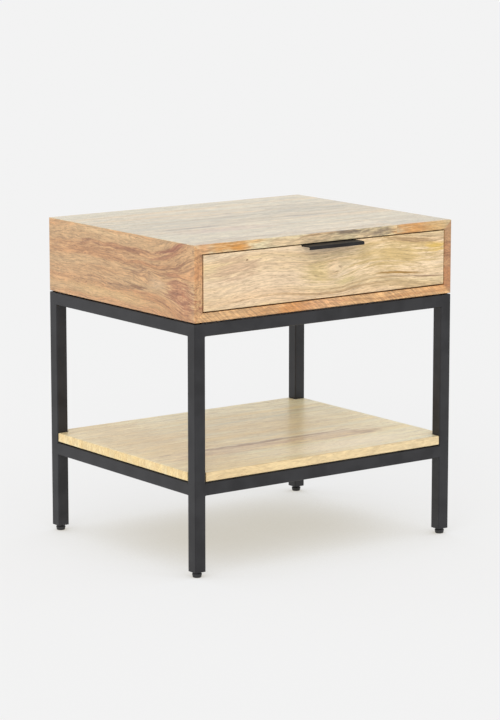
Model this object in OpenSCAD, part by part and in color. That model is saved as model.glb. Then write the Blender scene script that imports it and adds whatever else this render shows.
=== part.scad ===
// Side table: a mitred wooden case with one drawer, on a welded square-tube frame with a shelf.
// Origin: on the floor, in the middle of the footprint, the drawer pull included.
// +X is to the right as seen from the drawer side, +Y is to the back, +Z is up.

/* [Table] */
// Overall width
table_w = 560; // [500:10:620]
// Depth of the case and of the frame
table_d = 450; // [450:10:500]
// Height of the top above the floor
table_h = 572; // [520:2:640]

/* [Frame] */
// Side of the square tube
tube = 22; // [18:1:25]
// Wall of the square tube
tube_wall = 1.2; // [1.0:0.1:1.5]
// Outer corner radius of the square tube
tube_r = 2; // [1.5:0.1:2.5]
// Height of the lower rails' top face
low_rail_top = 164; // [140:2:200]

/* [Case] */
// Height of the wooden case
case_h = 132; // [132:2:150]
// Thickness of the wooden boards
board = 16; // [15:1:18]
// Radius of the boards' eased edges
ease = 2; // [0.8:0.1:2]
// Shadow gap between steel and wood
shadow_gap = 2; // [1:0.5:3]
// Thickness of the case's back panel
back_t = 12; // [8:1:14]

/* [Drawer] */
// Gap all round the drawer front
front_gap = 2; // [1.5:0.1:2.5]
// How far the drawer front hangs to the right of the middle of its opening
front_shift = 0.8; // [0:0.1:1]
// Thickness of the drawer front
front_t = 18; // [16:1:20]
// Thickness of the drawer box's boards
box_t = 12; // [10:1:14]
// Height of the drawer box
box_h = 80; // [70:1:84]
// Thickness of the drawer's plywood bottom
ply_t = 5; // [4:1:6]
// Length of the runners, which is also their travel
runner_l = 400; // [350:50:400]

/* [Pull] */
// Width of the edge pull
pull_w = 118; // [90:2:160]
// How far the pull stands out from the drawer front
pull_reach = 24; // [18:1:30]
// Height of the pull's front lip
pull_lip = 6; // [5:0.5:8]
// Thickness of the pull's steel
pull_t = 2; // [1.5:0.1:2]
// How far the pull sits to the right of the middle
pull_shift = 4; // [0:1:10]

/* [Feet] */
// Height of the gap between a leg and the floor
foot_h = 10; // [8:1:16]
// Widest diameter of a foot
foot_d = 17; // [15:1:20]

/* [Hidden] */
$fn = 48;

STEEL = "#343436";
MANGO = "#d8b78c";
MANGO_PALE = "#e6cfa6";
BEECH = "#dcc39a";
PLY = "#cbb089";
ZINC = "#b9bcc0";
PLASTIC = "#232325";

half_w = table_w / 2;
half_d = table_d / 2;
tube_in = tube / 2;
leg_x = half_w - tube_in;
leg_y = half_d - tube_in;
case_z = table_h - case_h;
frame_top = case_z - shadow_gap;
shelf_z = low_rail_top + shadow_gap;
rail_span_x = table_w - 2 * tube;
rail_span_y = table_d - 2 * tube;

// Inside of the case
in_w = table_w - 2 * board;
in_h = case_h - 2 * board;
in_z = case_z + board;
back_inset = 3;
back_y = half_d - back_inset - back_t;

// Drawer, with its front flush with the front of the case
front_w = in_w - 2 * front_gap;
front_h = in_h - 2 * front_gap;
front_z = in_z + front_gap;
runner_t = 12.7;
box_w = in_w - 2 * runner_t;
box_y = -half_d + front_t;
box_l = runner_l;
box_z = in_z + (in_h - box_h) / 2;
groove_lift = 8;
groove_depth = 6;
ply_play = 0.2;

// Edge pull: it lies in a shallow seat, flush with the drawer front's top edge
pull_z = front_z + front_h - pull_t;
pull_seat = 16;
pull_play = 0.3;

// Ball-bearing runner: its section is drawn with x from the case wall to the drawer side
runner_z = box_z + box_h / 2;
runner_y = box_y + 2;
case_member_half = 17.5;
member_t = 1.2;
middle_t = 1.5;
ball_r = 1.2;
ball_play = 0.05;
groove_bite = 0.4;
ball_x = 8;
race_r = ball_r + ball_play;
outer_ball_z = case_member_half - member_t + groove_bite - race_r;
middle_half = outer_ball_z - race_r + groove_bite;
inner_ball_z = middle_half - middle_t + groove_bite - race_r;
drawer_member_half = inner_ball_z - race_r + groove_bite;
cage_t = 0.5;
web_gap = 0.3;
outer_cage_x = member_t + web_gap;
middle_x = outer_cage_x + cage_t + web_gap;
inner_cage_x = middle_x + member_t + web_gap;
cage_l = 0.35 * runner_l;
cage_pitch = 20;
lip = 0.9;
lip_t = 0.8;
case_flange_x = 11.3;
middle_flange_x = 11;
drawer_flange_x = 5;

// Screws
thread_play = 0.05;
hole_play = 0.25;
access_r = 5;
spacer_r = 7;
frame_screw_r = 2;
frame_screw_l = 15;
runner_screw_r = 1.75;
runner_screw_l = 11;
csk_r = 3.3;
csk_h = 1.2;
frame_screw_xs = [-0.33, 0.33];
frame_screw_ys = [-0.3, 0.3];
runner_screw_ys = [0.08, 0.5, 0.92];
front_screw_r = 2;
front_screw_l = box_t + 12;
front_screw_x = 0.4 * box_w;
front_screw_z = 0.25 * box_h;
corner_screw_r = 1.75;
corner_screw_l = 30;
corner_screw_zs = [-0.27, 0.32];
pull_screw_x = 40;
pull_screw_l = 14;
pull_screw_y = -half_d + pull_seat / 2;

// Dowels in the case's mitres
dowel_r = 3;
dowel_l = 14;
dowel_play = 0.1;
dowel_count = 5;
dowel_margin = 45;

// Feet: a threaded stem in a plug in the leg's open end
plug_l = 18;
plug_play = 0.15;
stem_r = 3;
stem_l = 14;
stem_play = 0.06;
foot_neck_r = 5;

// Everything is laid out about the middle of the frame; the pull shifts the footprint's middle.
module placed() { translate([0, pull_reach / 2, 0]) children(); }

// ---- Shared shapes ----

// Rectangle with round corners, from the origin
module round_rect(w, h, r) {
    translate([r, 0]) square([w - 2 * r, h]);
    translate([0, r]) square([w, h - 2 * r]);
    for (x = [r, w - r], y = [r, h - r]) translate([x, y]) circle(r);
}

// Block with every edge eased, from the origin
module eased_block(w, d, h, r) {
    intersection() {
        linear_extrude(h) round_rect(w, d, r);
        translate([0, d, 0]) rotate([90, 0, 0]) linear_extrude(d) round_rect(w, h, r);
        rotate([90, 0, 90]) linear_extrude(w) round_rect(d, h, r);
    }
}

// Square tube standing on the origin, centred on Z
module square_tube(l) {
    linear_extrude(l) difference() {
        translate([-tube_in, -tube_in]) round_rect(tube, tube, tube_r);
        translate([tube_wall - tube_in, tube_wall - tube_in])
            round_rect(tube - 2 * tube_wall, tube - 2 * tube_wall, tube_r - tube_wall);
    }
}

// Cross slot for a screwdriver, cut down from z = 0
module cross_slot(size, depth) {
    for (turn = [0, 90]) rotate([0, 0, turn])
        translate([-size / 2, -size / 8, -depth]) cube([size, size / 4, depth + 1]);
}

// Pan-head wood screw: the head stands on z = 0 and the shank points down
module pan_screw(r, l) {
    head_r = 2 * r;
    head_h = 1.3 * r;
    difference() {
        union() {
            rotate_extrude() polygon([[0, 0], [head_r, 0], [head_r, 0.5 * head_h],
                                      [0.8 * head_r, 0.85 * head_h], [0.4 * head_r, head_h],
                                      [0, head_h]]);
            translate([0, 0, -l + 2 * r]) cylinder(r = r, h = l - 2 * r + 0.01);
            translate([0, 0, -l]) cylinder(r1 = 0.2, r2 = r, h = 2 * r);
        }
        translate([0, 0, head_h]) cross_slot(1.2 * head_r, 0.6 * head_h);
    }
}

// Countersunk screw: the head is flush with z = 0 and the shank points down
module csk_screw(r, l) {
    difference() {
        union() {
            translate([0, 0, -csk_h]) cylinder(r1 = r, r2 = csk_r, h = csk_h);
            translate([0, 0, -l + 2 * r]) cylinder(r = r, h = l - 2 * r - csk_h + 0.01);
            translate([0, 0, -l]) cylinder(r1 = 0.2, r2 = r, h = 2 * r);
        }
        cross_slot(1.1 * csk_r, 0.8);
    }
}

// Room for a csk_screw, slightly larger all round
module csk_room(r, l) {
    translate([0, 0, -csk_h]) cylinder(r1 = r + thread_play, r2 = csk_r + thread_play, h = csk_h);
    translate([0, 0, -l - 0.5]) cylinder(r = r + thread_play, h = l + 0.5);
    cylinder(r = csk_r + thread_play, h = 1);
}

// ---- Case ----

module case_shell() {
    translate([-half_w, -half_d, case_z]) difference() {
        eased_block(table_w, table_d, case_h, ease);
        translate([board, -1, board]) cube([in_w, table_d + 2, in_h]);
    }
}

// Wedges on the mitre planes: the part of the case section that belongs to each board
module mitre_wedge(side) {
    mid = case_h / 2;
    outline = side == "top" ? [[0, 0], [table_w, 0], [table_w - mid, -mid], [mid, -mid]]
                            : [[0, 0], [0, -case_h], [mid, -mid]];
    translate([-half_w, half_d + 1, table_h]) rotate([90, 0, 0])
        linear_extrude(table_d + 2) polygon(outline);
}

// Dowels across the four mitres, at the middle of the boards' thickness
module mitre_dowel_set(play) {
    pitch = (table_d - 2 * dowel_margin) / (dowel_count - 1);
    for (sx = [-1, 1], top = [0, 1], i = [0 : dowel_count - 1])
        translate([sx * (half_w - board / 2), -half_d + dowel_margin + i * pitch,
                   top == 1 ? table_h - board / 2 : case_z + board / 2])
            rotate([0, (top == 1 ? -sx : sx) * 45 + (top == 1 ? 0 : 180), 0])
                translate([0, 0, -dowel_l / 2 - play]) cylinder(r = dowel_r + play, h = dowel_l + 2 * play);
}

// Places of the screws that hold a wooden panel to the rails below it, at height z
module on_rails(z) {
    for (sx = frame_screw_xs, sy = [-1, 1]) translate([sx * table_w, sy * leg_y, z]) children();
    for (sx = [-1, 1], sy = frame_screw_ys) translate([sx * leg_x, sy * table_d, z]) children();
}

module frame_screw_set(z) {
    on_rails(z) mirror([0, 0, 1]) pan_screw(frame_screw_r, frame_screw_l);
}

module frame_screw_room(z) {
    on_rails(z) cylinder(r = frame_screw_r + thread_play, h = frame_screw_l + 0.5);
}

module spacer_set(z) {
    on_rails(z) difference() {
        cylinder(r = spacer_r, h = shadow_gap);
        translate([0, 0, -1]) cylinder(r = frame_screw_r + hole_play, h = shadow_gap + 2);
    }
}

// Runner screws, or the room for them, with their heads at x from the middle; turn is 1 where
// the heads look outwards and -1 where they look inwards
module runner_screws(x, turn, room) {
    for (sx = [-1, 1], f = runner_screw_ys)
        translate([sx * x, runner_y + f * runner_l, runner_z]) rotate([0, sx * turn * 90, 0])
            if (room) csk_room(runner_screw_r, runner_screw_l);
            else csk_screw(runner_screw_r, runner_screw_l);
}

module runner_case_screw_set(room) { runner_screws(in_w / 2 - member_t, -1, room); }
module runner_drawer_screw_set(room) { runner_screws(box_w / 2 + member_t, 1, room); }

module case_top() {
    color(MANGO_PALE) placed() difference() {
        intersection() { case_shell(); mitre_wedge("top"); }
        mitre_dowel_set(dowel_play);
    }
}

module case_bottom() {
    color(MANGO) placed() difference() {
        intersection() {
            case_shell();
            translate([0, 0, case_z + table_h]) mirror([0, 0, 1]) mitre_wedge("top");
        }
        mitre_dowel_set(dowel_play);
        frame_screw_room(frame_top - tube_wall);
    }
}

module case_side(sx) {
    color(MANGO) placed() difference() {
        intersection() {
            case_shell();
            if (sx < 0) mitre_wedge("left");
            else mirror([1, 0, 0]) mitre_wedge("left");
        }
        mitre_dowel_set(dowel_play);
        frame_screw_room(frame_top - tube_wall);
        runner_case_screw_set(true);
    }
}

module case_left_side() { case_side(-1); }
module case_right_side() { case_side(1); }

module case_back() {
    color(MANGO) placed() translate([-in_w / 2, back_y, in_z]) cube([in_w, back_t, in_h]);
}

module case_mitre_dowels() { color(BEECH) placed() mitre_dowel_set(0); }

// ---- Frame ----

module leg(sx, sy) {
    color(STEEL) placed() translate([sx * leg_x, sy * leg_y, foot_h]) square_tube(frame_top - foot_h);
}

module leg_front_left() { leg(-1, -1); }
module leg_front_right() { leg(1, -1); }
module leg_back_left() { leg(-1, 1); }
module leg_back_right() { leg(1, 1); }

// Holes in a rail: a clearance hole in the top wall and a wide one below for the screwdriver
module rail_holes(z_top) {
    cut_h = tube_wall + 2;
    on_rails(z_top - tube_wall - 1) cylinder(r = frame_screw_r + hole_play, h = cut_h);
    on_rails(z_top - tube - 1) cylinder(r = access_r, h = cut_h);
}

module rail_x(sy, z_top) {
    color(STEEL) placed() difference() {
        translate([-rail_span_x / 2, sy * leg_y, z_top - tube_in])
            rotate([0, 90, 0]) square_tube(rail_span_x);
        rail_holes(z_top);
    }
}

module rail_y(sx, z_top) {
    color(STEEL) placed() difference() {
        translate([sx * leg_x, rail_span_y / 2, z_top - tube_in])
            rotate([90, 0, 0]) square_tube(rail_span_y);
        rail_holes(z_top);
    }
}

module top_rail_front() { rail_x(-1, frame_top); }
module top_rail_back() { rail_x(1, frame_top); }
module top_rail_left() { rail_y(-1, frame_top); }
module top_rail_right() { rail_y(1, frame_top); }
module low_rail_front() { rail_x(-1, low_rail_top); }
module low_rail_back() { rail_x(1, low_rail_top); }
module low_rail_left() { rail_y(-1, low_rail_top); }
module low_rail_right() { rail_y(1, low_rail_top); }

// Weld between a leg's inner face at x = 0 and the end of a rail that runs towards +X, with its
// axis at y = 0 and z = 0: filler in the two corner grooves, ground flush, and a bead along the
// top and the bottom where those are open
module rail_end_weld(above) {
    bead = 3;
    flat = tube - 2 * tube_r;
    for (sy = [-1, 1]) translate([-tube_r, sy * tube_in, -flat / 2]) mirror([0, sy > 0 ? 1 : 0, 0])
        linear_extrude(flat) difference() {
            square(tube_r);
            translate([0, tube_r]) circle(tube_r);
        }
    for (sz = above ? [-1, 1] : [-1])
        translate([0, flat / 2, sz * tube_in]) mirror([0, 0, sz > 0 ? 0 : 1]) rotate([90, 0, 0])
            linear_extrude(flat) difference() {
                square(bead);
                translate([bead, bead]) circle(bead);
            }
}

module frame_welds() {
    color(STEEL) placed() for (level = [frame_top, low_rail_top]) {
        above = level < frame_top;
        for (sx = [-1, 1], sy = [-1, 1]) mirror([sx > 0 ? 1 : 0, 0, 0]) mirror([0, sy > 0 ? 1 : 0, 0]) {
            translate([-rail_span_x / 2, -leg_y, level - tube_in]) rail_end_weld(above);
            translate([-leg_x, -rail_span_y / 2, level - tube_in]) rotate([0, 0, 90]) rail_end_weld(above);
        }
    }
}

// Plastic plug in the open foot of each leg, with the hole that the foot's stem screws into
module leg_plugs() {
    side = tube - 2 * tube_wall - 2 * plug_play;
    color(PLASTIC) placed() for (sx = [-1, 1], sy = [-1, 1])
        translate([sx * leg_x, sy * leg_y, foot_h]) difference() {
            translate([-side / 2, -side / 2, 0]) linear_extrude(plug_l) round_rect(side, side, 0.7);
            translate([0, 0, -1]) cylinder(r = stem_r + stem_play, h = plug_l + 2);
        }
}

// Round foot, slightly narrower at the floor, with a neck and a threaded stem
module foot(sx, sy) {
    top_r = foot_d / 2;
    low_r = top_r - 1;
    base_h = foot_h - 3;
    neck_h = foot_h - 0.3;
    stem_top = foot_h + stem_l;
    profile = [
        [0, 0], [low_r - 0.8, 0], [low_r, 0.8],
        [top_r, base_h - 1], [top_r - 0.4, base_h - 0.2], [top_r - 1.2, base_h],
        [foot_neck_r, base_h], [foot_neck_r, neck_h], [stem_r, neck_h],
        [stem_r, stem_top - 1], [stem_r - 1, stem_top], [0, stem_top]
    ];
    color(PLASTIC) placed() translate([sx * leg_x, sy * leg_y, 0]) rotate_extrude() polygon(profile);
}

module foot_front_left() { foot(-1, -1); }
module foot_front_right() { foot(1, -1); }
module foot_back_left() { foot(-1, 1); }
module foot_back_right() { foot(1, 1); }

module case_spacers() { color(PLASTIC) placed() spacer_set(frame_top); }
module case_screws() { color(ZINC) placed() frame_screw_set(frame_top - tube_wall); }

// ---- Shelf ----

module shelf() {
    notch = tube + 1.5;
    inset = 0.5;
    color(MANGO_PALE) placed() difference() {
        translate([-half_w + inset, -half_d + inset, shelf_z])
            eased_block(table_w - 2 * inset, table_d - 2 * inset, board, ease);
        for (sx = [-1, 1], sy = [-1, 1])
            translate([sx * (half_w - notch / 2) - notch / 2 - (sx < 0 ? 1 : 0),
                       sy * (half_d - notch / 2) - notch / 2 - (sy < 0 ? 1 : 0), shelf_z - 1])
                cube([notch + 1, notch + 1, board + 2]);
        frame_screw_room(low_rail_top - tube_wall);
    }
}

module shelf_spacers() { color(PLASTIC) placed() spacer_set(low_rail_top); }
module shelf_screws() { color(ZINC) placed() frame_screw_set(low_rail_top - tube_wall); }

// ---- Drawer ----

module front_screw_places() {
    for (sx = [-1, 1], sz = [-1, 1])
        translate([sx * front_screw_x, box_y + box_t, runner_z + sz * front_screw_z])
            rotate([-90, 0, 0]) children();
}

module corner_screw_places() {
    for (sx = [-1, 1], y = [box_y + box_t / 2, box_y + box_l - box_t / 2], f = corner_screw_zs)
        translate([sx * box_w / 2, y, runner_z + f * box_h]) rotate([0, sx * 90, 0]) children();
}

module pull_screw_places() {
    for (sx = [-1, 1])
        translate([pull_shift + sx * pull_screw_x, pull_screw_y, pull_z + pull_t]) children();
}

// Groove that the plywood bottom sits in, run round the inside of the box
module bottom_groove() {
    translate([-box_w / 2 + box_t - groove_depth, box_y + box_t - groove_depth, box_z + groove_lift])
        cube([box_w - 2 * (box_t - groove_depth), box_l - 2 * (box_t - groove_depth), ply_t]);
}

module drawer_front() {
    color(MANGO_PALE) placed() difference() {
        translate([front_shift - front_w / 2, -half_d, front_z])
            eased_block(front_w, front_t, front_h, ease * 0.7);
        translate([pull_shift - pull_w / 2 - pull_play, -half_d - 1, pull_z])
            cube([pull_w + 2 * pull_play, pull_seat + pull_play + 1, front_h]);
        pull_screw_places() translate([0, 0, -pull_screw_l - 0.5])
            cylinder(r = runner_screw_r + thread_play, h = pull_screw_l);
        front_screw_places() translate([0, 0, -front_screw_l - 0.5])
            cylinder(r = front_screw_r + thread_play, h = front_screw_l);
    }
}

module drawer_cross_board(y) {
    color(BEECH) placed() difference() {
        translate([-box_w / 2 + box_t, y, box_z]) cube([box_w - 2 * box_t, box_t, box_h]);
        bottom_groove();
        corner_screw_places() translate([0, 0, -corner_screw_l - 0.5])
            cylinder(r = corner_screw_r + thread_play, h = corner_screw_l);
        front_screw_places() translate([0, 0, -box_t - 1])
            cylinder(r = front_screw_r + thread_play, h = box_t + 2);
    }
}

module drawer_box_front() { drawer_cross_board(box_y); }
module drawer_back() { drawer_cross_board(box_y + box_l - box_t); }

module drawer_side(sx) {
    color(BEECH) placed() difference() {
        translate([sx * (box_w / 2 - box_t / 2) - box_t / 2, box_y, box_z]) cube([box_t, box_l, box_h]);
        bottom_groove();
        runner_drawer_screw_set(true);
        corner_screw_places() csk_room(corner_screw_r, corner_screw_l);
    }
}

module drawer_left_side() { drawer_side(-1); }
module drawer_right_side() { drawer_side(1); }

module drawer_bottom() {
    edge = box_t - groove_depth + ply_play;
    color(PLY) placed() translate([-box_w / 2 + edge, box_y + edge, box_z + groove_lift])
        cube([box_w - 2 * edge, box_l - 2 * edge, ply_t]);
}

// Edge pull: a bent steel plate on the top edge of the drawer front, with a lip turned down
module drawer_pull() {
    bend = pull_t + 1;
    reach = pull_reach + pull_seat;
    color(STEEL) placed() difference() {
        translate([pull_shift - pull_w / 2, -half_d - pull_reach, pull_z + pull_t - pull_lip])
            rotate([90, 0, 90]) linear_extrude(pull_w) difference() {
                union() {
                    translate([bend, pull_lip - bend]) circle(bend);
                    translate([bend, pull_lip - pull_t]) square([reach - bend, pull_t]);
                    square([pull_t, pull_lip - bend]);
                }
                translate([bend, pull_lip - bend]) circle(bend - pull_t);
                translate([pull_t, -1]) square([bend * 2, pull_lip - bend + 1]);
                translate([bend, -1]) square([bend * 2, pull_lip - pull_t + 1]);
            }
        pull_screw_places() csk_room(runner_screw_r, pull_screw_l);
    }
}

module drawer_pull_screws() {
    color(STEEL) placed() pull_screw_places() csk_screw(runner_screw_r, pull_screw_l);
}

module drawer_front_screws() {
    color(ZINC) placed() front_screw_places() pan_screw(front_screw_r, front_screw_l);
}

module drawer_corner_screws() {
    color(ZINC) placed() corner_screw_places() csk_screw(corner_screw_r, corner_screw_l);
}

// ---- Runners ----

// Places a section drawn in x (from the case wall inwards) and y (up) along one runner
module along_runner(sx, y, l) {
    placed() mirror([sx > 0 ? 1 : 0, 0, 0]) translate([-in_w / 2, y + l, runner_z])
        rotate([90, 0, 0]) linear_extrude(l) children();
}

// Channel with its web at x0 and flanges that reach to x1, drawn half_h above and below y = 0
module channel(x0, x1, half_h, t) {
    difference() {
        translate([min(x0, x1), -half_h]) square([abs(x1 - x0), 2 * half_h]);
        translate([x0 < x1 ? x0 + member_t : x1 - 1, -half_h + t])
            square([abs(x1 - x0) - member_t + 1, 2 * (half_h - t)]);
    }
}

module races(z) {
    for (s = [-1, 1]) translate([ball_x, s * z]) circle(race_r);
}

module case_member(sx) {
    color(ZINC) difference() {
        along_runner(sx, runner_y, runner_l) {
            difference() {
                channel(0, case_flange_x, case_member_half, member_t);
                races(outer_ball_z);
            }
            for (s = [-1, 1])
                translate([case_flange_x - lip_t, s * (case_member_half - member_t - lip / 2) - lip / 2])
                    square([lip_t, lip]);
        }
        placed() runner_case_screw_set(true);
    }
}

module middle_member(sx) {
    color(ZINC) along_runner(sx, runner_y, runner_l) difference() {
        channel(middle_x, middle_flange_x, middle_half, middle_t);
        races(outer_ball_z);
        races(inner_ball_z);
    }
}

module drawer_member(sx) {
    color(ZINC) difference() {
        along_runner(sx, runner_y, runner_l) difference() {
            channel(runner_t, drawer_flange_x, drawer_member_half, member_t);
            races(inner_ball_z);
        }
        placed() runner_drawer_screw_set(true);
    }
}

// Ball cage: a thin bent strip with two rows of balls
module ball_cage(sx, x, z) {
    start = runner_y + (runner_l - cage_l) / 2;
    count = floor((cage_l - cage_pitch / 2) / cage_pitch);
    first = (cage_l - (count - 1) * cage_pitch) / 2;
    color(ZINC) {
        along_runner(sx, start, cage_l) difference() {
            translate([x, -z - cage_t / 2]) square([ball_x + 2 - x, 2 * z + cage_t]);
            translate([x + cage_t, -z + cage_t / 2]) square([ball_x + 2, 2 * z - cage_t]);
        }
        placed() for (i = [0 : count - 1], s = [-1, 1])
            translate([sx * (in_w / 2 - ball_x), start + first + i * cage_pitch, runner_z + s * z])
                sphere(ball_r);
    }
}

module left_runner_case_member() { case_member(-1); }
module left_runner_middle_member() { middle_member(-1); }
module left_runner_drawer_member() { drawer_member(-1); }
module left_runner_outer_cage() { ball_cage(-1, outer_cage_x, outer_ball_z); }
module left_runner_inner_cage() { ball_cage(-1, inner_cage_x, inner_ball_z); }
module right_runner_case_member() { case_member(1); }
module right_runner_middle_member() { middle_member(1); }
module right_runner_drawer_member() { drawer_member(1); }
module right_runner_outer_cage() { ball_cage(1, outer_cage_x, outer_ball_z); }
module right_runner_inner_cage() { ball_cage(1, inner_cage_x, inner_ball_z); }
module runner_case_screws() { color(ZINC) placed() runner_case_screw_set(false); }
module runner_drawer_screws() { color(ZINC) placed() runner_drawer_screw_set(false); }

case_top();
case_bottom();
case_left_side();
case_right_side();
case_back();
case_mitre_dowels();
leg_front_left();
leg_front_right();
leg_back_left();
leg_back_right();
top_rail_front();
top_rail_back();
top_rail_left();
top_rail_right();
low_rail_front();
low_rail_back();
low_rail_left();
low_rail_right();
frame_welds();
leg_plugs();
foot_front_left();
foot_front_right();
foot_back_left();
foot_back_right();
case_spacers();
case_screws();
shelf();
shelf_spacers();
shelf_screws();
drawer_front();
drawer_box_front();
drawer_left_side();
drawer_right_side();
drawer_back();
drawer_bottom();
drawer_pull();
drawer_pull_screws();
drawer_front_screws();
drawer_corner_screws();
left_runner_case_member();
left_runner_middle_member();
left_runner_drawer_member();
left_runner_outer_cage();
left_runner_inner_cage();
right_runner_case_member();
right_runner_middle_member();
right_runner_drawer_member();
right_runner_outer_cage();
right_runner_inner_cage();
runner_case_screws();
runner_drawer_screws();
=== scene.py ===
"""Looks for the side table with drawer: lacquered mango wood on a powder-coated steel frame."""

import math
from collections import namedtuple

import bmesh
import bpy
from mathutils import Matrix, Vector


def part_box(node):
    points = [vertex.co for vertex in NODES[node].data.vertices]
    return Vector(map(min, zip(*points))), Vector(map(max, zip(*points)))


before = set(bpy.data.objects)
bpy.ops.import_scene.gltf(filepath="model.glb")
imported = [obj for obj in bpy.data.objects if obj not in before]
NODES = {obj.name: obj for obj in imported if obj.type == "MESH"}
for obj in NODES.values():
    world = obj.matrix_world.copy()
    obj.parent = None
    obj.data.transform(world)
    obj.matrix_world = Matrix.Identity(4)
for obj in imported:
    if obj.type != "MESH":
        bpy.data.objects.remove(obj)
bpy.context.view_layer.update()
SCENE = bpy.context.scene

# Places on the table, in metres
TOP_LOW, TOP_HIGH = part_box("case_top")
SHELF_LOW, SHELF_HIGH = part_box("shelf")
LEFT_X, RIGHT_X = TOP_LOW.x, TOP_HIGH.x
FRONT_Y, BACK_Y = TOP_LOW.y, TOP_HIGH.y
CASE_TOP_Z = TOP_HIGH.z
FAR = 10.0  # a size that covers the whole table


# ---------------------------------------------------------------- shader graphs
def tone(red, green, blue):
    """A display colour, 0 to 255 a channel, as the linear colour that shaders take."""
    linear = []
    for channel in (red, green, blue):
        part = channel / 255
        linear.append(part / 12.92 if part <= 0.04045 else ((part + 0.055) / 1.055) ** 2.4)
    return (*linear, 1.0)


class Graph:
    """One material's node graph. Each call adds a node and returns its output socket."""

    def __init__(self, name):
        self.material = bpy.data.materials.new(name)
        self.material.use_nodes = True
        self.tree = self.material.node_tree
        self.tree.nodes.clear()

    def node(self, kind, inputs=(), output=0, **settings):
        made = self.tree.nodes.new(kind)
        for key, value in settings.items():
            setattr(made, key, value)
        for socket, value in dict(inputs).items():
            if isinstance(value, bpy.types.NodeSocket):
                self.tree.links.new(value, made.inputs[socket])
            else:
                made.inputs[socket].default_value = value
        return made.outputs[output] if made.outputs else None

    def math(self, operation, *values, clamp=False):
        return self.node("ShaderNodeMath", enumerate(values), operation=operation, use_clamp=clamp)

    def vector(self, operation, *values, output=0):
        return self.node("ShaderNodeVectorMath", enumerate(values), output, operation=operation)

    def join(self, x, y, z):
        return self.node("ShaderNodeCombineXYZ", enumerate((x, y, z)))

    def split(self, vector):
        made = self.node("ShaderNodeSeparateXYZ", {0: vector}).node
        return [made.outputs[axis] for axis in range(3)]

    def noise(self, place, scales, detail, roughness=0.5, output="Fac"):
        """Noise with so many features a metre along each part of the place."""
        scaled = self.join(*(self.math("MULTIPLY", part, scale) for part, scale in zip(place, scales)))
        inputs = {"Vector": scaled, "Scale": 1.0, "Detail": detail, "Roughness": roughness}
        return self.node("ShaderNodeTexNoise", inputs, output)

    def even_noise(self, scale, detail, roughness=0.5):
        """Noise with the same number of features a metre every way."""
        return self.noise(self.split(self.coordinates("Object")), (scale, scale, scale), detail, roughness)

    def grey(self, value):
        return self.join(value, value, value)

    def fade(self, value, start, end, low=0.0, high=1.0):
        """Goes smoothly from low to high as value goes from start to end."""
        inputs = {"Value": value, "From Min": start, "From Max": end, "To Min": low, "To Max": high}
        return self.node("ShaderNodeMapRange", inputs, interpolation_type="SMOOTHSTEP")

    def mix(self, factor, first, second, blend="MIX"):
        inputs = {0: factor, 6: first, 7: second}
        return self.node("ShaderNodeMix", inputs, 2, data_type="RGBA", blend_type=blend)

    def coordinates(self, output):
        return self.node("ShaderNodeTexCoord", output=output)

    def flats(self, start, end):
        """1 on the flat faces of a square piece, 0 on its rounded edges."""
        parts = self.split(self.vector("ABSOLUTE", self.coordinates("Normal")))
        largest = self.math("MAXIMUM", self.math("MAXIMUM", parts[0], parts[1]), parts[2])
        return self.fade(largest, start, end)

    def bump(self, height, distance, strength):
        """A bumped normal. distance is what a height of 1 stands for, in metres."""
        return self.node("ShaderNodeBump", {"Strength": strength, "Distance": distance, "Height": height})

    def surface(self, **inputs):
        """The finished shader. Names are the sockets' own, with _ for a space."""
        named = {key.replace("_", " "): value for key, value in inputs.items()}
        shader = self.node("ShaderNodeBsdfPrincipled", named)
        self.node("ShaderNodeOutputMaterial", {"Surface": shader})
        return self.material


# ---------------------------------------------------------------- wood
AXES = {"X": 0, "Y": 1, "Z": 2}
Palette = namedtuple("Palette", "ground dark warm cool line")

# Features a metre along the grain, across the board's face and into the board
WANDER = (2.4, 7.0, 7.0)
WIGGLE = (14.0, 38.0, 38.0)
MOTTLE = (18.0, 60.0, 60.0)
RIPPLES = (230.0, 34.0, 34.0)

# Features a metre along the grain, across the rings and round them
BROAD_BANDS = (1.7, 32.0, 9.0)
BANDS = (3.6, 150.0, 22.0)
THIN_LINES = (1.1, 88.0, 6.0)
FLECKS = (36.0, 430.0, 200.0)
FIBRES = (40.0, 1100.0, 600.0)
PORES = (85.0, 1000.0, 1000.0)

# How far apart neighbouring staves lay in the tree, in metres, and what a butt joint adds to a stave's number
STAVE_ALONG = 1.37
STAVE_ACROSS = 0.071
BUTT_STEP = 0.43

WANDER_REACH = 0.030  # metres from side to side that the fibres wander at most
WIGGLE_REACH = 0.010  # metres from side to side that they wiggle at most
KNOT_PUSH = 0.85  # how far a knot pushes the fibres apart, from 0 to 1
KNOT_WIDTH = 0.5  # a knot's width across the grain, as a share of its length along it


def stave_numbers(g, seed, along, across, staves, butts):
    """A number for each glued stave, which moves it to another place in the tree."""
    number = seed
    for glue_line in staves:
        number = g.math("ADD", number, g.math("GREATER_THAN", across, glue_line))
    for low, high, joint in butts:
        inside = g.math("MULTIPLY", g.math("GREATER_THAN", across, low), g.math("LESS_THAN", across, high))
        beyond = g.math("MULTIPLY", inside, g.math("GREATER_THAN", along, joint))
        number = g.math("MULTIPLY_ADD", beyond, BUTT_STEP, number)
    return number


def displacement(g, place, scales, detail, roughness, reach):
    """A smooth displacement, at most reach from side to side, as its three parts."""
    noise = g.noise(place, scales, detail, roughness, "Color")
    centred = g.vector("SUBTRACT", noise, (0.5, 0.5, 0.5))
    return g.split(g.vector("MULTIPLY", centred, (reach, reach, reach)))


def roll(g, along, across, wave):
    """Lets the fibres roll in waves along the board."""
    height, length, crest = wave
    turn = g.math("MULTIPLY", g.math("SUBTRACT", along, crest), 2 * math.pi / length)
    return g.math("SUBTRACT", across, g.math("MULTIPLY", g.math("COSINE", turn), height))


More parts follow.
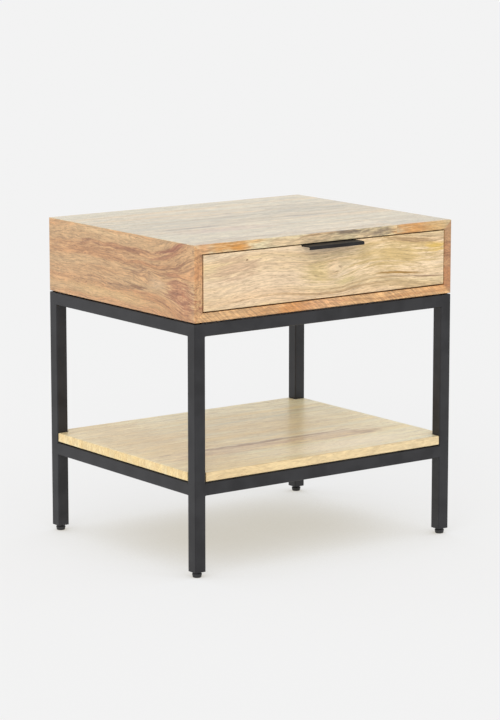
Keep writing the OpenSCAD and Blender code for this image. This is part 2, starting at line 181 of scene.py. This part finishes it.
def spread_out(g, along, across, fan):
    """Lets the fibres spread apart towards a crotch."""
    level, start, strength = fan
    spread = g.math("POWER", g.math("MAXIMUM", g.math("SUBTRACT", start, along), 0.0), 2.0)
    spread = g.math("MULTIPLY_ADD", spread, strength, 1.0)
    return g.math("ADD", g.math("DIVIDE", g.math("SUBTRACT", across, level), spread), level)


def flow_round_knots(g, along, across, deep, order, knots):
    """Lets the fibres flow around knots. Gives their place across, and how dark any knots are."""
    dark = None
    for centre, radius, darkness in knots:
        middle = [centre[i] for i in order]
        offset = g.math("SUBTRACT", across, middle[1])
        height = g.math("SUBTRACT", deep, middle[2])
        reach = g.math("MULTIPLY", g.math("SUBTRACT", along, middle[0]), KNOT_WIDTH)
        distance = g.vector("LENGTH", g.join(reach, offset, height), output="Value")
        share = g.math("POWER", g.math("DIVIDE", distance, radius), 2.0)
        near = g.math("EXPONENT", g.math("MULTIPLY", share, -1.0))
        across = g.math("SUBTRACT", across, g.math("MULTIPLY", g.math("MULTIPLY", offset, near), KNOT_PUSH))
        spot = g.fade(distance, radius * 0.10, radius * 0.30, darkness, 0.0)
        dark = spot if dark is None else g.math("MAXIMUM", dark, spot)
    return across, dark


def add_marks(g, colour, place, order, marks, grain_edge):
    """Adds the marks that stand out: heart streaks, mineral patches, gold and pink areas."""
    for centre, half, mark_colour, strength, raggedness in marks:
        away = [
            g.math("MULTIPLY", g.math("SUBTRACT", place[k], centre[order[k]]), 1 / half[order[k]])
            for k in range(3)
        ]
        distance = g.vector("LENGTH", g.join(*away), output="Value")
        ragged = g.math("ADD", distance, g.math("MULTIPLY", grain_edge, raggedness))
        colour = g.mix(g.fade(ragged, 0.2, 1.1, strength, 0.0), colour, mark_colour)
    return colour


def wood(
    name,
    grain,
    face,
    colours,
    seed,
    pith,
    sway=1.0,
    wave=None,
    fan=None,
    staves=(),
    butts=(),
    stave_tint=0.0,
    curl=0.0,
    slant=0.0,
    marks=(),
    knots=(),
    end_tone=(0.86, 0.78, 0.72, 1.0),
    coat=0.6,
    banding=0.7,
    flecking=1.0,
):
    """Solid lacquered wood, worked out through the board's whole depth, so that its sides and ends agree.

    grain is the axis that the fibres follow and face the axis that crosses them on the broad face.
    colours are its pale ground, darker bands, warm and cool tints, and thin lines.
    pith is where the tree's middle lies, across the face and into it, in metres.
    sway is how far the fibres wander, and wave their (height, length, place of a crest) along the board.
    fan is the (place across, place along, strength) from which the fibres spread apart towards a crotch.
    curl is the strength of the ripples across the grain, and slant how far those lean.
    staves are the glue lines across the board, and stave_tint how much the staves differ.
    butts are the (low side, high side, place along) of end joints.
    marks are (centre, half size, colour, strength, raggedness) and knots are (centre, radius, darkness).
    end_tone is what the end grain's colour is multiplied by, and coat the strength of the lacquer.
    banding and flecking are the strengths of the bands and of the short dark flecks."""
    g = Graph(name)
    inward = ({"X", "Y", "Z"} - {grain, face}).pop()
    order = [AXES[grain], AXES[face], AXES[inward]]
    parts = g.split(g.coordinates("Object"))
    along, across, deep = (parts[i] for i in order)
    stave = stave_numbers(g, seed, along, across, staves, butts)
    along_tree = g.math("MULTIPLY_ADD", stave, STAVE_ALONG, along)

    # Fibres wander, roll in waves and flow around knots
    board_place = (along_tree, across, deep)
    large = displacement(g, board_place, WANDER, 2.0, 0.5, WANDER_REACH * sway)
    small = displacement(g, board_place, WIGGLE, 3.0, 0.55, WIGGLE_REACH * sway)
    across_near = g.math("ADD", across, small[0])
    deep_near = g.math("ADD", deep, small[1])
    if wave:
        across_near = roll(g, along, across_near, wave)
    if fan:
        across_near = spread_out(g, along, across_near, fan)
    across_near, knot_dark = flow_round_knots(g, along, across_near, deep_near, order, knots)
    across_tree = g.math("ADD", across_near, large[0])
    deep_tree = g.math("ADD", deep_near, large[1])

    # Growth: distance from the pith, which the bands follow
    shift = g.math("MULTIPLY", stave, STAVE_ACROSS)
    across_pith = g.math("SUBTRACT", g.math("ADD", across_tree, shift), pith[0])
    deep_pith = g.math("SUBTRACT", deep_tree, pith[1])
    ring = g.vector("LENGTH", g.join(across_pith, deep_pith, 0.0), output="Value")
    flow = (along_tree, ring, g.math("ADD", across_tree, deep_tree))
    near = (along_tree, across_near, deep_near)
    broad = g.split(g.noise(flow, BROAD_BANDS, 2.0, 0.5, "Color"))
    bands = g.noise(flow, BANDS, 4.0, 0.62)
    flecks = g.noise(flow, FLECKS, 3.0, 0.7)
    fibres = g.noise(flow, FIBRES, 2.0, 0.6)
    pore = g.fade(g.noise(flow, PORES, 1.0), 0.60, 0.72)
    lines = g.noise(flow, THIN_LINES, 2.0)
    mottle = g.noise(near, MOTTLE, 4.0, 0.65)
    slanted = g.math("MULTIPLY_ADD", across_near, slant, along_tree)
    ripples = g.noise((slanted, across_near, deep), RIPPLES, 3.0, 0.6)

    # Ground, bands, tints and thin lines
    banded = g.math("ADD", bands, g.math("MULTIPLY_ADD", mottle, 0.5, -0.25))
    colour = g.mix(g.fade(banded, 0.36, 0.68, 0.0, banding), colours.ground, colours.dark)
    colour = g.mix(g.fade(broad[0], 0.40, 0.64, 0.0, 0.8), colour, colours.warm)
    colour = g.mix(g.fade(broad[1], 0.44, 0.66, 0.0, 0.8), colour, colours.cool)
    thin = g.fade(g.math("ABSOLUTE", g.math("SUBTRACT", lines, 0.5)), 0.0, 0.02, 1.0, 0.0)
    thin = g.math("MULTIPLY", thin, g.fade(broad[2], 0.42, 0.6, 0.0, 0.5))
    colour = g.mix(thin, colour, colours.line)
    if stave_tint:
        number = g.node("ShaderNodeTexWhiteNoise", {"W": stave}, "Value", noise_dimensions="1D")
        shade = g.fade(number, 0.0, 1.0, 1.0 - stave_tint, 1.0 + stave_tint)
        colour = g.mix(1.0, colour, g.grey(shade), "MULTIPLY")
    grain_edge = g.math("SUBTRACT", 1.5, g.math("ADD", bands, g.math("ADD", mottle, flecks)))
    colour = add_marks(g, colour, (along, across_near, deep_near), order, marks, grain_edge)
    if knot_dark is not None:
        colour = g.mix(knot_dark, colour, colours.line)

    # Flecks, fibres, pores and cross-grain figure
    fleck_shade = g.fade(flecks, 0.34, 0.66, 1.0 + 0.13 * flecking, 1.0 - 0.20 * flecking)
    texture = g.math("MULTIPLY", fleck_shade, g.fade(fibres, 0.25, 0.75, 1.08, 0.9))
    texture = g.math("MULTIPLY", texture, g.fade(mottle, 0.3, 0.7, 1.05, 0.94))
    if curl:
        texture = g.math("MULTIPLY", texture, g.fade(ripples, 0.32, 0.68, 1.0 - curl, 1.0 + curl))
    colour = g.mix(1.0, colour, g.grey(texture), "MULTIPLY")
    colour = g.mix(g.math("MULTIPLY", pore, 0.55), colour, colours.line)

    # End grain takes the lacquer differently. Flat faces get a painted sheen, which leaves the eased edges a
    # little darker than them
    facing = g.split(g.vector("ABSOLUTE", g.coordinates("Normal")))[order[0]]
    colour = g.mix(g.fade(facing, 0.6, 0.95), colour, g.mix(1.0, colour, end_tone, "MULTIPLY"))
    painted_sheen = g.math("MULTIPLY", g.flats(0.72, 0.97), 0.12)
    colour = g.mix(painted_sheen, colour, g.mix(1.0, colour, (1.25, 1.22, 1.15, 1.0), "MULTIPLY"))

    # The finish: open pores sink into it, and the bands vary its gloss
    relief = g.math("SUBTRACT", g.math("MULTIPLY", fibres, 0.35), pore)
    relief = g.math("MULTIPLY_ADD", ripples, 0.3, relief)
    return g.surface(
        Base_Color=colour,
        Roughness=g.math("ADD", g.fade(bands, 0.3, 0.7, 0.32, 0.40), g.math("MULTIPLY", pore, 0.2)),
        IOR=1.5,
        Normal=g.bump(relief, 0.00012, 0.6),
        Coat_Weight=coat,
        Coat_Roughness=0.12,
        Coat_IOR=1.5,
    )


def plywood():
    """Thin birch ply, with its layers showing along the edges."""
    g = Graph("plywood")
    x, y, z = g.split(g.coordinates("Object"))
    streaks = g.noise((x, y, z), (220.0, 6.0, 40.0), 4.0, 0.6)
    pair_of_layers = 0.0012
    layer = g.math("FRACT", g.math("MULTIPLY", z, 1 / pair_of_layers))
    edge = g.math("SUBTRACT", 1.0, g.split(g.vector("ABSOLUTE", g.coordinates("Normal")))[2])
    colour = g.mix(g.fade(streaks, 0.3, 0.7), tone(222, 198, 156), tone(201, 172, 128))
    ply = g.mix(g.math("GREATER_THAN", layer, 0.5), tone(190, 152, 104), tone(214, 184, 138))
    colour = g.mix(edge, colour, ply)
    return g.surface(
        Base_Color=colour,
        Roughness=g.fade(streaks, 0.2, 0.8, 0.5, 0.62),
        IOR=1.5,
        Normal=g.bump(streaks, 0.0002, 0.4),
    )


# ---------------------------------------------------------------- steel and plastic
def powder_coat(name, deep, pale, roughness, specular):
    """Satin black powder coat between two tones, with fine orange peel and a painted sheen: a paler, patchy
    haze on flat faces.
    """
    g = Graph(name)
    peel = g.even_noise(900.0, 2.0)
    cloud = g.even_noise(22.0, 3.0)
    colour = g.mix(g.fade(cloud, 0.3, 0.7), deep, pale)
    # painted sheen: flat faces are lifted towards a paler grey, patchy with the cloud noise
    painted_haze = g.math("MULTIPLY", g.flats(0.72, 0.95), g.fade(cloud, 0.35, 0.65, 0.2, 0.6))
    colour = g.mix(painted_haze, colour, tone(46, 46, 48))
    return g.surface(
        Base_Color=colour,
        Roughness=g.fade(cloud, 0.3, 0.7, roughness, roughness + 0.08),
        IOR=1.5,
        Specular_IOR_Level=specular,
        Normal=g.bump(peel, 0.00008, 0.35),
    )


def moulded_plastic():
    """Black moulded plastic with a fine spark-eroded texture."""
    g = Graph("black_plastic")
    fine = g.even_noise(2600.0, 2.0)
    scuff = g.even_noise(90.0, 3.0, 0.6)
    colour = g.mix(g.fade(scuff, 0.35, 0.75), tone(30, 30, 31), tone(46, 46, 47))
    return g.surface(
        Base_Color=colour,
        Roughness=g.fade(scuff, 0.3, 0.7, 0.42, 0.6),
        IOR=1.46,
        Normal=g.bump(fine, 0.00004, 0.5),
    )


def zinc_plate():
    """Bright zinc-plated steel with faint spangle and drawing lines."""
    g = Graph("zinc_plate")
    drawn = g.noise(g.split(g.coordinates("Object")), (1400.0, 12.0, 1400.0), 2.0)
    cloud = g.even_noise(160.0, 3.0, 0.55)
    colour = g.mix(g.fade(cloud, 0.3, 0.7), tone(190, 192, 196), tone(214, 215, 217))
    return g.surface(
        Base_Color=colour,
        Metallic=1.0,
        Roughness=g.fade(cloud, 0.25, 0.75, 0.24, 0.4),
        Normal=g.bump(drawn, 0.00003, 0.4),
    )


# ---------------------------------------------------------------- camera, light and floor
BACKDROP = tone(242, 242, 242)


def make_camera():
    """The camera stands off the front left corner, a little above the top, and looks slightly down."""
    lens = 146.255
    sensor = 36.0
    standpoint = Vector((-3.0668, -4.1504, 1.2567))
    turned = math.radians(36.390)
    tilted = math.radians(10.317)
    data = bpy.data.cameras.new("camera")
    data.lens = lens
    data.sensor_width = sensor
    data.clip_start = 0.1
    data.clip_end = 300.0
    camera = bpy.data.objects.new("camera", data)
    camera.location = standpoint
    camera.rotation_euler = (math.pi / 2 - tilted, 0.0, -turned)
    SCENE.collection.objects.link(camera)
    SCENE.camera = camera


def make_light():
    """A bright even studio, with large soft lamps that model the shapes."""
    world = bpy.data.worlds.new("studio")
    world.use_nodes = True
    world.node_tree.nodes["Background"].inputs["Color"].default_value = BACKDROP
    SCENE.world = world
    SCENE.view_settings.view_transform = "Standard"

    lamps = (
        ("left_lamp", 1.15, 40.0, (-1.0, -0.85, 0.60)),
        ("front_lamp", 0.25, 60.0, (-0.30, -1.0, 0.80)),
    )
    for name, strength, spread, source in lamps:
        data = bpy.data.lights.new(name, "SUN")
        data.energy = strength
        data.angle = math.radians(spread)
        lamp = bpy.data.objects.new(name, data)
        lamp.rotation_euler = Vector(source).to_track_quat("Z", "Y").to_euler()
        SCENE.collection.objects.link(lamp)


def make_floor():
    """A pale seamless floor, as bright as the backdrop, with soft shade only close to the table: painted
    shade in its glow, on top of the real shade of its matt part.
    """
    half_size = 60.0
    shape = bmesh.new()
    bmesh.ops.create_grid(shape, x_segments=4, y_segments=4, size=half_size)
    mesh = bpy.data.meshes.new("floor")
    shape.to_mesh(mesh)
    shape.free()
    floor = bpy.data.objects.new("floor", mesh)
    SCENE.collection.objects.link(floor)
    g = Graph("pale_floor")
    painted_shade_reach = 0.30
    glow_strength = 0.80
    matt_tone = (0.17, 0.17, 0.17, 1.0)
    openness = g.node("ShaderNodeAmbientOcclusion", {"Distance": painted_shade_reach}, "AO", samples=8)
    # painted shade: the glow's colour darkens to a warm tan where ambient occlusion finds the table close by
    shade = g.mix(g.fade(openness, 0.15, 0.85), tone(204, 199, 188), BACKDROP)
    glow = g.node("ShaderNodeEmission", {"Color": shade, "Strength": glow_strength})
    matt = g.node("ShaderNodeBsdfDiffuse", {"Color": matt_tone})
    both = g.node("ShaderNodeAddShader", {0: glow, 1: matt})
    g.node("ShaderNodeOutputMaterial", {"Surface": both})
    mesh.materials.append(g.material)


# ---------------------------------------------------------------- finishes
def give(material, *names):
    """These nodes take the material in every slot."""
    for name in names:
        slots = NODES[name].data.materials
        for index in range(len(slots)):
            slots[index] = material


def dress_wood():
    tan = Palette(
        ground=tone(210, 168, 120),
        dark=tone(164, 116, 72),
        warm=tone(196, 140, 88),
        cool=tone(198, 162, 116),
        line=tone(108, 62, 34),
    )
    give(top_wood(), "case_top")
    give(left_side_wood(), "case_left_side")
    give(
        wood(
            "right_side_wood", "Y", "Z", tan, seed=8.0, pith=(0.36, RIGHT_X - 0.05),
            end_tone=(0.80, 0.70, 0.66, 1.0), flecking=1.2,
        ),
        "case_right_side",
    )
    give(bottom_wood(), "case_bottom")
    give(wood("back_wood", "X", "Z", tan, seed=14.0, pith=(0.38, BACK_Y - 0.04)), "case_back")
    give(drawer_front_wood(), "drawer_front")
    give(shelf_wood(), "shelf")
    box = Palette(
        ground=tone(226, 204, 164),
        dark=tone(208, 180, 136),
        warm=tone(224, 194, 150),
        cool=tone(214, 190, 148),
        line=tone(164, 126, 86),
    )
    box_wide = wood("box_wood_wide", "X", "Z", box, seed=23.0, pith=(0.40, 0.0), sway=0.5)
    box_long = wood("box_wood_long", "Y", "Z", box, seed=26.0, pith=(0.40, 0.1), sway=0.5)
    dowels = wood("dowel_wood", "X", "Z", box, seed=29.0, pith=(0.40, 0.0), sway=0.5)
    give(box_wide, "drawer_box_front", "drawer_back")
    give(box_long, "drawer_left_side", "drawer_right_side")
    give(dowels, "case_mitre_dowels")
    give(plywood(), "drawer_bottom")


def top_wood():
    """The case's top: staves along X. Its front edge shows gold, grey and orange, with one butt joint."""
    colours = Palette(
        ground=tone(215, 198, 157),
        dark=tone(178, 153, 114),
        warm=tone(209, 178, 126),
        cool=tone(195, 183, 149),
        line=tone(112, 84, 56),
    )
    front = FRONT_Y
    top = CASE_TOP_Z
    gold = tone(206, 138, 46)
    grey = tone(132, 114, 92)
    beige = tone(220, 190, 148)
    marks = (
        ((-0.262, front, 0.562), (0.030, 0.012, 0.03), tone(204, 155, 106), 1.0, 0.8),
        ((-0.230, front, 0.566), (0.022, 0.012, 0.03), tone(206, 150, 84), 0.8, 1.0),
        ((-0.190, front, 0.562), (0.045, 0.012, 0.013), gold, 0.95, 1.5),
        ((-0.150, front, 0.568), (0.030, 0.012, 0.006), tone(220, 176, 112), 0.8, 1.0),
        ((-0.05, front, 0.562), (0.13, 0.02, 0.012), beige, 0.75, 1.5),
        ((0.00, front, 0.570), (0.09, 0.012, 0.0035), tone(170, 130, 86), 0.7, 1.5),
        ((0.045, front, 0.568), (0.05, 0.012, 0.005), grey, 0.9, 1.6),
        ((0.115, front, 0.562), (0.05, 0.012, 0.010), grey, 0.95, 1.6),
        ((0.08, front, 0.561), (0.035, 0.012, 0.006), beige, 0.7, 1.2),
        ((0.195, front, 0.564), (0.06, 0.012, 0.03), tone(208, 142, 62), 0.85, 1.0),
        ((0.25, front, 0.564), (0.04, 0.012, 0.03), tone(212, 164, 96), 0.7, 1.0),
        ((0.01, 0.087, top), (0.02, 0.008, 0.02), grey, 0.7, 0.6),
        ((0.17, -0.113, top), (0.016, 0.006, 0.02), grey, 0.8, 0.6),
        ((0.16, 0.07, top), (0.12, 0.050, 0.02), tone(158, 142, 104), 0.6, 1.6),
        ((-0.15, -0.035, top), (0.10, 0.012, 0.02), tone(120, 98, 76), 0.7, 1.4),
        ((0.10, -0.01, top), (0.07, 0.010, 0.02), tone(120, 96, 72), 0.7, 1.4),
        ((-0.12, -0.08, top), (0.14, 0.035, 0.02), tone(196, 152, 120), 0.5, 1.0),
        ((0.0, -0.16, top), (0.3, 0.04, 0.01), tone(214, 196, 164), 0.4, 1.0),
    )
    return wood(
        "top_wood", "X", "Y", colours, seed=2.0, pith=(0.0, top - 0.07), flecking=1.6, banding=0.9,
        staves=(-0.123, -0.033, 0.057, 0.147), butts=((-0.3, -0.123, 0.155),), stave_tint=0.08, marks=marks,
    )


def left_side_wood():
    """The case's left side: warm tan. The fibres spread towards the front and reddish streaks sweep up."""
    colours = Palette(
        ground=tone(205, 162, 113),
        dark=tone(155, 109, 67),
        warm=tone(190, 131, 81),
        cool=tone(194, 159, 114),
        line=tone(94, 54, 30),
    )
    red = tone(154, 92, 62)
    brown = tone(128, 86, 52)
    x = LEFT_X
    marks = (
        ((x, 0.05, 0.564), (FAR, 0.20, 0.008), tone(214, 178, 130), 0.7, 1.2),
        ((x, -0.188, 0.5455), (FAR, 0.016, 0.005), tone(70, 36, 26), 1.0, 0.6),
        ((x, -0.150, 0.5425), (FAR, 0.060, 0.0045), red, 0.9, 1.0),
        ((x, -0.120, 0.536), (FAR, 0.060, 0.0040), tone(158, 100, 66), 0.7, 1.2),
        ((x, 0.02, 0.543), (FAR, 0.17, 0.0055), tone(150, 98, 62), 0.8, 1.4),
        ((x, 0.10, 0.530), (FAR, 0.14, 0.010), tone(170, 118, 74), 0.6, 1.5),
        ((x, -0.05, 0.524), (FAR, 0.10, 0.004), tone(166, 112, 70), 0.5, 1.2),
        ((x, -0.045, 0.480), (FAR, 0.036, 0.0055), brown, 0.9, 1.2),
        ((x, 0.02, 0.477), (FAR, 0.07, 0.008), tone(158, 122, 84), 0.8, 1.4),
        ((x, -0.165, 0.494), (FAR, 0.050, 0.022), tone(178, 116, 78), 0.7, 2.2),
        ((x, -0.190, 0.484), (FAR, 0.030, 0.020), tone(164, 102, 66), 0.6, 2.2),
        ((x, -0.155, 0.486), (FAR, 0.022, 0.010), tone(152, 96, 62), 0.6, 1.6),
        ((x, -0.105, 0.496), (FAR, 0.034, 0.012), tone(206, 176, 140), 0.5, 1.4),
        ((x, -0.060, 0.508), (FAR, 0.040, 0.010), tone(146, 98, 64), 0.6, 1.8),
        ((x, 0.04, 0.460), (FAR, 0.2, 0.012), tone(212, 174, 118), 0.6, 1.4),
    )
    knots = (((x, -0.180, 0.488), 0.010, 0.0), ((x, -0.078, 0.500), 0.010, 0.0))
    return wood(
        "left_side_wood", "Y", "Z", colours, seed=5.0, pith=(0.36, LEFT_X + 0.05), fan=(0.505, -0.07, 64.0),
        sway=1.5, marks=marks, knots=knots, flecking=1.35, banding=0.5, curl=0.03,
        end_tone=(0.97, 0.89, 0.84, 1.0),
    )


def bottom_wood():
    """The case's bottom: pink and orange tan, with curly figure across its front edge."""
    colours = Palette(
        ground=tone(212, 166, 112),
        dark=tone(174, 120, 70),
        warm=tone(206, 144, 80),
        cool=tone(206, 166, 116),
        line=tone(118, 70, 36),
    )
    marks = (
        ((-0.22, FRONT_Y, 0.448), (0.08, 0.05, 0.02), tone(208, 166, 116), 0.8, 1.4),
        ((-0.07, FRONT_Y, 0.448), (0.045, 0.05, 0.02), tone(208, 140, 70), 0.7, 1.2),
        ((0.0, FRONT_Y, 0.448), (0.07, 0.05, 0.02), tone(214, 160, 116), 0.5, 1.2),
    )
    return wood(
        "bottom_wood", "X", "Z", colours, seed=11.0, pith=(0.40, -0.20),
        curl=0.26, slant=1.2, marks=marks, flecking=1.3,
    )


def drawer_front_wood():
    """The drawer front: pale cream with long rolling bands, a small knot and yellow and olive areas."""
    colours = Palette(
        ground=tone(229, 204, 168),
        dark=tone(187, 151, 110),
        warm=tone(220, 185, 141),
        cool=tone(211, 186, 140),
        line=tone(112, 74, 42),
    )
    y = FRONT_Y
    marks = (
        ((-0.15, y, 0.505), (0.16, FAR, 0.06), tone(228, 200, 168), 0.5, 1.0),
        ((-0.20, y, 0.528), (0.07, FAR, 0.022), tone(198, 160, 128), 0.5, 1.8),
        ((-0.02, y, 0.506), (0.040, FAR, 0.022), tone(200, 174, 104), 0.6, 1.3),
        ((0.04, y, 0.490), (0.030, FAR, 0.010), tone(196, 178, 112), 0.5, 1.3),
        ((0.015, y, 0.514), (0.022, FAR, 0.014), tone(220, 186, 150), 0.35, 1.2),
        ((0.16, y, 0.520), (0.14, FAR, 0.040), tone(204, 172, 98), 0.7, 1.5),
        ((0.245, y, 0.532), (0.032, FAR, 0.011), tone(214, 176, 76), 0.8, 1.4),
        ((0.20, y, 0.545), (0.085, FAR, 0.006), tone(158, 122, 82), 0.7, 1.6),
        ((0.165, y, 0.486), (0.065, FAR, 0.003), tone(158, 118, 44), 1.0, 0.8),
        ((0.22, y, 0.480), (0.05, FAR, 0.002), tone(120, 86, 50), 0.9, 0.8),
        ((0.0, y, 0.4705), (0.25, FAR, 0.0028), tone(172, 136, 90), 0.65, 1.0),
        ((0.06, y, 0.4780), (0.19, FAR, 0.0022), tone(176, 142, 96), 0.6, 1.0),
        ((0.18, y, 0.466), (0.10, FAR, 0.010), tone(184, 152, 102), 0.6, 1.8),
    )
    knots = (((-0.171, y, 0.536), 0.006, 1.0), ((0.015, y, 0.512), 0.018, 0.0))
    return wood(
        "drawer_front_wood", "X", "Z", colours, seed=17.0, pith=(0.36, FRONT_Y + 0.05),
        sway=0.5, wave=(0.0045, 0.245, -0.125), marks=marks, knots=knots, banding=0.24, flecking=1.1,
    )


def shelf_wood():
    """The shelf: yellow pale staves, with a pink and brown heart streak across the middle."""
    colours = Palette(
        ground=tone(251, 241, 200),
        dark=tone(234, 217, 172),
        warm=tone(246, 228, 172),
        cool=tone(238, 233, 200),
        line=tone(170, 137, 96),
    )
    z = SHELF_HIGH.z
    front = SHELF_LOW.y
    heart = tone(210, 180, 148)
    marks = (
        ((-0.22, -0.02, z), (0.14, FAR, 0.03), tone(230, 204, 154), 0.6, 1.0),
        ((-0.11, -0.085, z), (0.18, 0.038, 0.03), heart, 0.5, 1.3),
        ((0.10, -0.085, z), (0.14, 0.038, 0.03), heart, 0.5, 1.3),
        ((-0.06, -0.064, z), (0.19, 0.008, 0.03), tone(162, 122, 90), 0.65, 1.2),
        ((0.06, -0.067, z), (0.13, 0.007, 0.03), tone(162, 122, 90), 0.55, 1.2),
        ((0.10, -0.110, z), (0.12, 0.007, 0.03), tone(176, 140, 108), 0.5, 1.2),
        ((0.180, -0.096, z), (0.035, 0.020, 0.03), tone(170, 136, 106), 0.5, 1.2),
        ((0.08, -0.165, z), (0.22, 0.05, 0.03), tone(252, 240, 206), 0.8, 1.0),
        ((0.0, front, z), (FAR, 0.004, FAR), tone(219, 192, 145), 0.8, 0.5),
    )
    return wood(
        "shelf_wood", "X", "Y", colours, seed=20.0, pith=(0.0, z - 0.06), flecking=0.6, coat=0.1,
        staves=(-0.13, -0.045, 0.05, 0.14), stave_tint=0.06, marks=marks, end_tone=(0.94, 0.85, 0.71, 1.0),
    )


def dress_steel():
    black = powder_coat("black_powder_coat", tone(18, 17, 20), tone(24, 23, 27), 0.34, 0.38)
    pull_black = powder_coat("pull_powder_coat", tone(30, 27, 26), tone(38, 35, 33), 0.42, 0.12)
    plastic = moulded_plastic()
    zinc = zinc_plate()
    plastic_names = ("leg_plugs", "case_spacers", "shelf_spacers")
    zinc_names = ("case_screws", "shelf_screws", "drawer_front_screws", "drawer_corner_screws")
    for name in NODES:
        if name.startswith(("leg_", "top_rail", "low_rail", "frame_welds")):
            give(black, name)
        if name.startswith("drawer_pull"):
            give(pull_black, name)
        if name in plastic_names or name.startswith("foot_"):
            give(plastic, name)
        if "runner" in name or name in zinc_names:
            give(zinc, name)


make_camera()
make_light()
make_floor()
dress_wood()
dress_steel()
